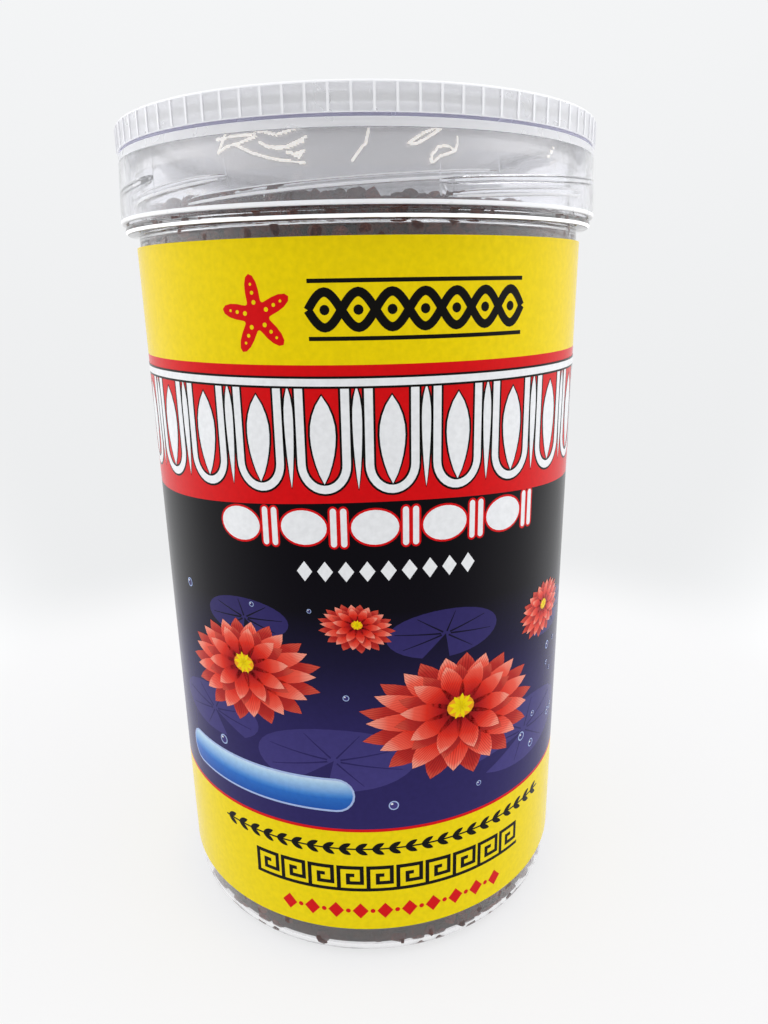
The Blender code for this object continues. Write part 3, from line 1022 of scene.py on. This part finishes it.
def make_label():
    """Printed sleeve: rows of faces follow the edges of the printed bands."""
    bands = [LABEL_HIGH, YELLOW_BAND_LOW, RED_BAND_LOW, RED_LINE_HIGH, RED_LINE_LOW, LABEL_LOW]
    rows = []
    for high, low in zip(bands, bands[1:]):
        count = max(1, round((high - low) / 6.0))
        rows += [high + (low - high) * i / count for i in range(count)]
    rows.append(LABEL_LOW)
    outer = [(label_radius(h), h) for h in rows]
    inner = [(label_radius(h) - LABEL_FILM, h) for h in (LABEL_LOW, LABEL_HIGH)]
    label = turned("label_sleeve", outer + inner, ROUND_STEPS, closed=True)

    def band(face):
        middle = face.center.z / MM
        return int(RED_LINE_LOW < middle < YELLOW_BAND_LOW) + int(RED_LINE_HIGH < middle < RED_BAND_LOW)

    finish(label, [INKS[ink] for ink in ("yellow", "red", "deep blue")], band)
    for vertex in label.data.vertices:
        point = vertex.co / MM
        if abs(point.z - RED_BAND_LOW) < 0.01:
            edge = red_band_edge(azimuth_of(point))
            vertex.co = round_point(azimuth_of(point), label_radius(edge), edge) * MM
    return label


# Printed shapes are drawn on a flat sheet: x is the distance along the label from its middle,
# y the height above the table and z the layer of ink. The sheet is then cut in strips as wide
# as the sleeve's facets and wrapped round the sleeve.
FACET = 360.0 / ROUND_STEPS
LAYER = 0.016
INK_THICKNESS = 0.012
KEYLINE = 0.4

# Heights of the printed rows
TWIST_ROW = 137.2
STAR_ROW = 136.4
FRIEZE_TOP = 125.3
FRIEZE_UNITS = 24
BEAD_ROW = 98.0
LOZENGE_ROW = 89.5
LEAF_ROW = 29.0
KEY_ROW = 18.7
DIAMOND_ROW = 13.2
PANEL_LOW = 38.0
PANEL_HIGH = 95.0


def across(azimuth):
    """Distance along the label, in millimetres, from its middle to an azimuth."""
    return math.radians(azimuth - LABEL_MIDDLE) * LABEL_RADIUS


def moved(points, x, y, turn=0.0, scale=(1.0, 1.0)):
    """Turn an outline by an angle in degrees, scale it and move it."""
    c = math.cos(math.radians(turn))
    s = math.sin(math.radians(turn))
    return [(x + (px * c - py * s) * scale[0], y + (px * s + py * c) * scale[1]) for px, py in points]


def inked(ink, layer, outline, x=0.0, y=0.0, turn=0.0):
    """Flat shape of one ink: a filled disc whose corners are moved to the outline. The outline runs
    counterclockwise and starts at the top, and the disc's UV map goes with it."""
    bpy.ops.mesh.primitive_circle_add(vertices=len(outline), radius=MM, fill_type="NGON")
    shape = bpy.context.object
    for vertex, point in zip(shape.data.vertices, moved(outline, x, y, turn)):
        vertex.co = Vector((*point, layer * LAYER)) * MM
    shape.data.materials.append(INKS[ink])
    return shape


def line_ink(ink, layer, start, end, width):
    """Straight line of one ink and width."""
    return inked(ink, layer, ribbon([start, end], [width, width]))


def oval(width, height, steps=28):
    """Ellipse, counterclockwise from its top."""
    turns = [math.tau * i / steps for i in range(steps)]
    return [(-width / 2.0 * math.sin(t), height / 2.0 * math.cos(t)) for t in turns]


def stadium(width, height, steps=10):
    """Bar with round ends, counterclockwise from the top left end."""
    reach = (width - height) / 2.0
    arc = [math.pi * i / steps for i in range(steps + 1)]
    left = [(-reach - height / 2.0 * math.sin(t), height / 2.0 * math.cos(t)) for t in arc]
    return left + [(-x, -y) for x, y in left]


def oblong(left, right, low, high):
    """Upright oblong, counterclockwise from its top left corner."""
    return [(left, high), (left, low), (right, low), (right, high)]


def lens(length, width, belly=0.5, steps=9):
    """Leaf or petal from its tip at the top to its root at the origin, widest at the belly."""
    side = []
    for i in range(1, steps):
        share = i / steps
        along = share / (2.0 * belly) if share < belly else 1.0 - (1.0 - share) / (2.0 * (1.0 - belly))
        side.append((width / 2.0 * math.sin(math.pi * along) ** 0.8, length * share))
    left = [(-x, y) for x, y in reversed(side)]
    return [(0.0, length), *left, (0.0, 0.0), *side]


def ribbon(points, widths):
    """Band of changing width along a line, with mitred corners."""
    line = [Vector(p) for p in points]
    left = []
    right = []
    for i, here in enumerate(line):
        back = (here - line[i - 1]).normalized() if i > 0 else (line[1] - here).normalized()
        ahead = (line[i + 1] - here).normalized() if i < len(line) - 1 else back
        along = (back + ahead).normalized()
        off = Vector((-along.y, along.x)) * widths[i] / 2.0 / max(0.5, along.dot(back))
        left.append(tuple(here + off))
        right.append(tuple(here - off))
    return [*reversed(left), *right]


def copied(piece, motion):
    """Copy of a piece, with its own mesh, moved."""
    other = piece.copy()
    other.data = piece.data.copy()
    other.data.transform(motion)
    bpy.context.scene.collection.objects.link(other)
    return other


def copies(shapes, x, y=0.0, turn=0.0, scale=1.0):
    """Copies of flat shapes, turned and scaled about the sheet's origin."""
    motion = (
        Matrix.Translation(Vector((x, y, 0.0)) * MM)
        @ Matrix.Rotation(math.radians(turn), 4, "Z")
        @ Matrix.Diagonal((scale, scale, 1.0, 1.0))
    )
    return [copied(shape, motion) for shape in shapes]


def wrapped(name, shapes):
    """Join flat shapes, cut them along the sleeve's facets, wrap them and give the ink a thickness."""
    print_sheet = joined(name, shapes)
    xs = [vertex.co.x / MM for vertex in print_sheet.data.vertices]
    first = math.ceil((LABEL_MIDDLE + math.degrees(min(xs) / LABEL_RADIUS)) / FACET)
    last = math.floor((LABEL_MIDDLE + math.degrees(max(xs) / LABEL_RADIUS)) / FACET)
    bpy.ops.object.mode_set(mode="EDIT")
    for line in range(first, last + 1):
        bpy.ops.mesh.select_all(action="SELECT")
        bpy.ops.mesh.bisect(
            plane_co=(across(line * FACET) * MM, 0.0, 0.0), plane_no=(1.0, 0.0, 0.0), threshold=0.000001
        )
    bpy.ops.object.mode_set(mode="OBJECT")
    for vertex in print_sheet.data.vertices:
        point = vertex.co / MM
        azimuth = LABEL_MIDDLE + math.degrees(point.x / LABEL_RADIUS)
        off = math.radians(azimuth % FACET - FACET / 2.0)
        flat = math.cos(math.radians(FACET / 2.0)) / math.cos(off)
        vertex.co = round_point(azimuth, label_radius(point.y) * flat + point.z, point.y) * MM
    thickness = print_sheet.modifiers.new("thickness", "SOLIDIFY")
    thickness.thickness = INK_THICKNESS * MM
    thickness.offset = -1.0
    apply_modifier(print_sheet, thickness)
    shade(print_sheet)
    return print_sheet


def keyed(points_at, keyline_ink):
    """A white shape over a slightly larger one: points_at gives the outline for a margin."""
    return [inked(keyline_ink, 1, points_at(KEYLINE)), inked("white", 2, points_at(0.0))]


def sea_star():
    """Sea star with five blunt arms and rows of dots, where a badge stands on such labels."""
    x = across(-21.1)
    tilt = 9.0
    outline = []
    for i in range(60):
        turn = math.tau * i / 60
        reach = 2.5 + 4.4 * (0.5 + 0.5 * math.cos(5.0 * turn)) ** 1.35
        outline.append((-reach * math.sin(turn), reach * math.cos(turn)))
    shapes = [inked("red", 1, outline, x, STAR_ROW, tilt)]
    for arm in range(5):
        for reach, size in ((2.2, 0.8), (3.8, 0.66), (5.2, 0.5)):
            dot = moved(oval(size, size, 10), 0.0, reach)
            shapes.append(inked("yellow", 2, dot, x, STAR_ROW, tilt + 72.0 * arm))
    return shapes


def twisted_band():
    """Twist of two strands with a dot in each eye, between two thin lines."""
    first = across(-9.6)
    length = 40.0
    eyes = 7
    shapes = []
    for strand in range(2):
        line = []
        for i in range(eyes * 12 + 1):
            share = i / (eyes * 12)
            wave = math.sin(math.pi * (eyes * share + strand))
            line.append((first + length * share, TWIST_ROW + 2.9 * wave))
        shapes.append(inked("black", 1 + strand, ribbon(line, [1.5] * len(line))))
    for eye in range(eyes):
        shapes.append(inked("black", 1, oval(1.7, 1.7, 14), first + length * (eye + 0.5) / eyes, TWIST_ROW))
    for y in (TWIST_ROW - 4.7, TWIST_ROW + 4.7):
        shapes.append(inked("black", 1, oblong(first, first + length, y - 0.35, y + 0.35)))
    return shapes


def egg_and_dart():
    """One unit of an egg-and-dart moulding, which goes right round the red band: an egg in a shell
    that hangs from a bar, and a dart between two shells."""
    side = across(0.0)
    width = across(360.0 / FRIEZE_UNITS) - side
    centre = side + width / 2.0
    top = FRIEZE_TOP
    reach = 4.1
    arc = [math.pi * i / 16 for i in range(17)]
    shell = [(-reach, 19.6), (-reach, 14.0), (-reach, 8.0)]
    shell += [(-reach * math.cos(t), 5.2 - 4.6 * math.sin(t)) for t in arc]
    shell += [(reach, 8.0), (reach, 14.0), (reach, 19.6)]

    def hoop(margin):
        return moved(ribbon(shell, [1.5 + 2.0 * margin] * len(shell)), centre, top - 19.8)

    def egg(margin):
        outline = lens(15.8 + 2.0 * margin, 4.6 + 2.0 * margin, belly=0.42)
        return moved(outline, centre, top - 2.4 + margin, 180.0)

    def dart(margin):
        outline = lens(18.4 + 2.0 * margin, 1.7 + 2.0 * margin, belly=0.3)
        return moved(outline, side, top - 0.6 + margin, 180.0)

    shapes = keyed(hoop, "black") + keyed(egg, "black") + keyed(dart, "black")
    for ink, margin, layer in (("black", KEYLINE, 3), ("white", 0.0, 4)):
        shapes.append(inked(ink, layer, oblong(side, side + width, top - 0.8 - margin, top + 0.5 + margin)))
    return shapes


def arch_height(x, height):
    """The rows under the red band follow its arch a little."""
    azimuth = LABEL_MIDDLE + math.degrees(x / LABEL_RADIUS)
    return height + 0.35 * (red_band_edge(azimuth) - RED_BAND_LOW)


def bead_and_reel():
    """Row of beads and pairs of discs, white with a red line round them."""
    shapes = []
    for unit in range(5):
        first = across(-35.0) + 13.3 * unit
        for x, turn, shape, width, height, *steps in (
            (first + 4.9, 0.0, oval, 8.8, 6.6),
            (first + 10.55, 90.0, stadium, 7.4, 1.15, 6),
            (first + 12.45, 90.0, stadium, 7.4, 1.15, 6),
        ):

            def bead(margin):
                outline = shape(width + 2.0 * margin, height + 2.0 * margin, *steps)
                return moved(outline, x, arch_height(x, BEAD_ROW), turn)

            shapes += keyed(bead, "red")
    return shapes


def lozenge_row():
    """Nine small white lozenges."""
    xs = [across(-15.5) + 2.0 + 3.96 * number for number in range(9)]
    corners = [(0.0, 2.0), (-1.5, 0.0), (0.0, -2.0), (1.5, 0.0)]
    return [inked("white", 1, corners, x, arch_height(x, LOZENGE_ROW)) for x in xs]


def water_lily(layer):
    """Water lily seen from a little above, in four rings of petals round the stamens."""
    shapes = []
    rings = (
        (13, 19.0, 6.2, 0.0, "dark petal", 0.66),
        (13, 17.6, 5.6, 13.8, "petal", 0.66),
        (11, 12.8, 4.6, 6.0, "dark petal", 0.74),
        (10, 11.6, 4.4, 20.0, "petal", 0.78),
    )
    for ring, (count, length, width, first, ink, squash) in enumerate(rings):
        for number in range(count):
            turn = first + 360.0 * number / count
            petal = moved(lens(length, width, belly=0.56), 0.0, 0.0, turn, (1.0, squash))
            # The ring is set a little higher the further in it is, as on a cup of petals
            shapes.append(inked(ink, layer + ring, petal, 0.0, 0.55 * ring))
    shapes.append(inked("orange", layer + 4, oval(5.6, 4.2, 18), 0.0, 2.0))
    for number in range(9):
        shapes.append(inked("yellow", layer + 5, lens(2.6, 0.9), 0.0, 2.1, 40.0 * number))
    return shapes


def lily_pad(x, y, width, notch):
    """Round floating leaf with a notch, and veins from its middle."""
    turns = [math.radians(notch + 14.0 + 332.0 * i / 30) for i in range(31)]
    rim = [(width / 2.0 * math.cos(t), width * 0.21 * math.sin(t)) for t in turns]
    shapes = [inked("slate blue", 1, [(0.0, 0.0), *rim], x, y)]
    for number in range(7):
        turn = math.radians(notch + 44.0 + 45.0 * number)
        tip = (width * 0.44 * math.cos(turn), width * 0.185 * math.sin(turn))
        vein = ribbon([(tip[0] * 0.1, tip[1] * 0.1), tip], [0.34, 0.1])
        shapes.append(inked("deep blue", 2, vein, x, y))
    return shapes


def lily_pond():
    """Water lilies, floating leaves and bubbles on the deep blue band."""
    shapes = []
    for azimuth, height, width, notch in (
        (-44.0, 55.0, 26.0, 300.0), (-8.0, 50.0, 34.0, 250.0), (47.0, 47.5, 36.0, 215.0),
        (20.0, 76.5, 24.0, 260.0), (-30.0, 79.0, 20.0, 280.0), (60.0, 72.0, 22.0, 200.0),
    ):
        shapes += lily_pad(across(azimuth), height, width, notch)
    lilies = (
        (24.0, 57.5, -6.0, 1.12), (-31.0, 67.0, 8.0, 0.92), (55.0, 74.0, 5.0, 0.5), (-1.5, 79.0, -10.0, 0.4),
    )
    lily = water_lily(3)
    for azimuth, height, turn, scale in lilies:
        shapes += copies(lily, across(azimuth), height, turn, scale)
    for shape in lily:
        bpy.data.objects.remove(shape)
    draw = random.Random(8)
    for _ in range(40):
        x = across(draw.uniform(-55.0, 66.0))
        y = draw.uniform(36.0, 84.0)
        size = draw.uniform(0.9, 2.3)
        in_lily = any(
            math.hypot(x - across(azimuth), (y - height) * 1.4) < 21.0 * scale
            for azimuth, height, _turn, scale in lilies
        )
        if in_lily or (y < PILL_HIGH + 2.0 and x < across(0.0)):
            continue
        shapes.append(inked("pale blue", 3, oval(size, size, 16), x, y))
        shapes.append(inked("slate blue", 4, oval(size * 0.76, size * 0.76, 16), x, y))
        glint = oval(size * 0.26, size * 0.2, 8)
        shapes.append(inked("white", 5, glint, x - size * 0.17, y + size * 0.18))
    return shapes


def sky_pill():
    """Plain glossy bar with round ends."""
    x = across(-31.0)
    y = (PILL_LOW + PILL_HIGH) / 2.0
    height = PILL_HIGH - PILL_LOW
    return [
        inked("pale blue", 3, stadium(46.0, height), x, y),
        inked("sky blue", 4, stadium(45.1, height - 0.9), x, y),
    ]


def leaf_row():
    """Row of small leaves in pairs along a thin stem."""
    first = across(-43.0)
    shapes = [line_ink("black", 1, (first, LEAF_ROW), (first + 82.0, LEAF_ROW), 0.36)]
    for number in range(23):
        for layer, turn in ((2, -62.0), (3, -118.0)):
            x = first + 0.7 + 3.53 * number
            shapes.append(inked("black", layer, lens(3.0, 1.15), x, LEAF_ROW, turn))
    return shapes


def key_meander():
    """Plain key meander on a base line."""
    first = across(-32.0)
    line = [(0.0, 0.0), (0.0, 5.6), (5.0, 5.6), (5.0, 1.75), (2.0, 1.75), (2.0, 3.7), (3.4, 3.7)]
    unit = inked("black", 2, ribbon(line, [0.85] * len(line)))
    shapes = [line_ink("black", 1, (first, KEY_ROW), (first + 64.0, KEY_ROW), 0.8)]
    for number in range(10):
        shapes += copies([unit], first + 0.5 + 6.4 * number, KEY_ROW)
    bpy.data.objects.remove(unit)
    return shapes


def diamond_row():
    """Row of red diamonds with a dot between each two."""
    xs = [across(-25.0) + 2.4 + 5.36 * number for number in range(10)]
    corners = [(0.0, 2.0), (-1.75, 0.0), (0.0, -2.0), (1.75, 0.0)]
    shapes = [inked("red", 1, corners, x, DIAMOND_ROW) for x in xs]
    return shapes + [inked("red", 1, oval(1.1, 1.1, 12), x + 2.68, DIAMOND_ROW) for x in xs[:-1]]


def back_panel():
    """Cream panel with an empty table, and the strip where the label overlaps itself."""
    low = PANEL_LOW
    high = PANEL_HIGH
    left = across(122.0)
    right = across(186.0)
    shapes = [
        inked("black", 1, oblong(left, right, low, high)),
        inked("cream", 2, oblong(left + 0.6, right - 0.6, low + 0.6, high - 0.6)),
    ]
    for row in range(1, 8):
        y = low + (high - low) * row / 8.0
        shapes.append(line_ink("black", 3, (left + 2.5, y), (right - 2.5, y), 0.3))
    middle = left + (right - left) * 0.62
    shapes.append(line_ink("black", 4, (middle, low + 2.5), (middle, high - 2.5), 0.3))
    seam = across(205.0)
    edges = [LABEL_LOW, RED_LINE_LOW, RED_LINE_HIGH, RED_BAND_LOW, YELLOW_BAND_LOW, LABEL_HIGH]
    for ink, low_y, high_y in zip(("yellow", "red", "deep blue", "red", "yellow"), edges, edges[1:]):
        shapes.append(inked(ink, 6, oblong(seam, seam + 6.0, low_y, high_y)))
    return shapes


def make_prints():
    """All that is printed over the bands: the front, the frieze round the jar and the back."""
    unit = wrapped("frieze_unit", egg_and_dart())
    turns = [math.tau * number / FRIEZE_UNITS for number in range(FRIEZE_UNITS)]
    frieze = [copied(unit, Matrix.Rotation(turn, 4, "Z")) for turn in turns]
    bpy.data.objects.remove(unit)
    front = sea_star() + twisted_band() + bead_and_reel() + lozenge_row()
    low = leaf_row() + key_meander() + diamond_row()
    return [
        joined("label_frieze", frieze),
        wrapped("label_front_prints", front + low),
        wrapped("label_lily_print", lily_pond() + sky_pill()),
        wrapped("label_back_prints", back_panel()),
    ]


# Studio

TENT_FLOOR = 180.0
TENT_CURVE = 250.0
TENT_HEIGHT = 900.0
TABLE_GLOW = 0.72
TABLE_WHITE = 0.22
CEILING_GLOW = 1.15
LAMP_SIZE = 0.3


def tent_white():
    """White cloth of a light tent over a lit table: the floor glows and also takes the lamps' light,
    and the walls glow, most at the sides and least in front."""
    return node_material(
        "white tent cloth",
        ("axes", "SeparateXYZ", {}, OBJECT_PLACE),
        ("level", "VectorMath", {"operation": "MULTIPLY", 1: (1.0, 1.0, 0.0)}, {0: ("place", "Object")}),
        ("radius", "VectorMath", {"operation": "LENGTH"}, {0: ("level", "Vector")}),
        ("front", "Math", {"operation": "DIVIDE"}, {0: ("axes", "Y"), 1: ("radius", "Value")}),
        ("side", "MapRange",
         {**SOFT_STEP, "From Min": 0.15, "From Max": 0.8, "To Min": 1.7, "To Max": 1.0},
         {"Value": ("front", "Value")}),
        ("fore", "MapRange",
         {**SOFT_STEP, "From Min": -0.95, "From Max": -0.25, "To Min": 0.45, "To Max": 1.0},
         {"Value": ("front", "Value")}),
        ("glow", "Math", {"operation": "MULTIPLY"}, {0: ("side", "Result"), 1: ("fore", "Result")}),
        ("wall", "MapRange",
         {**SOFT_STEP, "From Min": 0.16, "From Max": 0.235, "To Min": 0.0, "To Max": 1.0},
         {"Value": ("radius", "Value")}),
        ("height", "MapRange", {"From Min": 0.0, "From Max": 0.35, "To Min": 0.855, "To Max": 0.925},
         {"Value": ("axes", "Z")}),
        ("strength", "Math", {"operation": "MULTIPLY"}, {0: ("glow", "Value"), 1: ("height", "Result")}),
        ("light", "Emission", {"Color": "#FDFEFF"}, {"Strength": ("strength", "Value")}),
        ("cloth", "BsdfDiffuse", {"Color": (TABLE_WHITE, TABLE_WHITE, TABLE_WHITE, 1.0)}, {}),
        ("lit", "Emission", {"Color": "#FEFEFF", "Strength": TABLE_GLOW}, {}),
        ("table", "AddShader", {}, {0: ("cloth", "BSDF"), 1: ("lit", "Emission")}),
        ("mixed", "MixShader", {}, {0: ("wall", "Result"), 1: ("table", "Shader"), 2: ("light", "Emission")}),
    )


def make_studio():
    """Round white floor that curves up into the walls of a light tent, open to a bright ceiling."""
    corners = [
        (0.0, -0.1, 0.0),
        (TENT_FLOOR + TENT_CURVE, -0.1, TENT_CURVE),
        (TENT_FLOOR + TENT_CURVE, TENT_HEIGHT, 0.0),
    ]
    finish(turned("light_tent", rounded(corners, 4.0), 128), [tent_white()], angle=60.0)
    world = bpy.data.worlds.new("bright ceiling")
    bpy.context.scene.world = world
    world.use_nodes = True
    world.node_tree.nodes["Background"].inputs["Color"].default_value = colour("#FFFFFF")
    world.node_tree.nodes["Background"].inputs["Strength"].default_value = CEILING_GLOW
    for name, spot, power in (
        ("left lamp", (-0.28, -0.3, 0.72), 0.5),
        ("right lamp", (0.34, -0.12, 0.76), 0.5),
    ):
        aim = Vector(spot) - Vector((0.0, 0.0, 0.12))
        bpy.ops.object.light_add(type="AREA", location=spot, rotation=aim.to_track_quat("Z", "Y").to_euler())
        lamp = bpy.context.object
        lamp.name = name
        lamp.data.size = LAMP_SIZE
        lamp.data.energy = power


# Camera: measured in label radii, with the angles in degrees
CAMERA_DISTANCE = 3.8163
CAMERA_HEIGHT = 3.002
CAMERA_YAW = -1.401
CAMERA_PITCH = 16.46
CAMERA_ROLL = -0.949
FOCAL_PIXELS = 769.0
IMAGE_HEIGHT = 1024.0
SENSOR = 36.0
CAMERA_UNIT = 47.0


def make_camera():
    """Camera at the photograph's place and angle."""
    yaw = math.radians(CAMERA_YAW)
    pitch = math.radians(CAMERA_PITCH)
    roll = math.radians(CAMERA_ROLL)
    forward = Vector((0.0, math.cos(pitch), -math.sin(pitch)))
    level_right = Vector((1.0, 0.0, 0.0))
    level_up = level_right.cross(forward)
    right = level_right * math.cos(roll) + level_up * math.sin(roll)
    up = level_up * math.cos(roll) - level_right * math.sin(roll)
    place = Vector((
        -CAMERA_DISTANCE * math.sin(yaw), -CAMERA_DISTANCE * math.cos(yaw), CAMERA_HEIGHT
    )) * CAMERA_UNIT * MM
    turn = Matrix((right, up, -forward)).transposed()
    bpy.ops.object.camera_add(location=place, rotation=turn.to_euler())
    camera = bpy.context.object
    camera.name = "camera"
    camera.data.sensor_fit = "VERTICAL"
    camera.data.sensor_height = SENSOR
    camera.data.lens = FOCAL_PIXELS / IMAGE_HEIGHT * SENSOR
    camera.data.clip_start = 0.01
    bpy.context.scene.camera = camera


def set_view():
    """Plain colour response, and enough bounces for light to pass the clear walls."""
    scene = bpy.context.scene
    scene.view_settings.view_transform = "Standard"
    scene.view_settings.look = "None"
    scene.cycles.max_bounces = 32
    scene.cycles.transmission_bounces = 24
    scene.cycles.glossy_bounces = 8
    scene.cycles.diffuse_bounces = 12
    scene.cycles.transparent_max_bounces = 16


def place(piece, body, slot, *nodes):
    """Tie a piece to its body and hide the nodes that it stands for; slot, its finish, is not used."""
    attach(piece, body)
    if nodes:
        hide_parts(*nodes)


def main():
    bpy.ops.object.select_all(action="DESELECT")
    make_camera()
    make_studio()
    set_view()
    place(make_jar(), "jar", "clear_plastic", "jar")
    place(make_lid(), "lid", "lid_plastic", "lid")
    place(make_liner(), "liner", "liner_foam", "liner")
    place(make_seal_film(), "jar", "seal_film", "seal_film")
    core, layers = make_pellets()
    place(core, "jar", "pellets", "pellets")
    for layer in layers:
        place(layer, "jar", "pellets")
    place(make_label(), "jar", "label_film", "label")
    for prints in make_prints():
        place(prints, "jar", "label_film")


main()
bpy.context.view_layer.update()
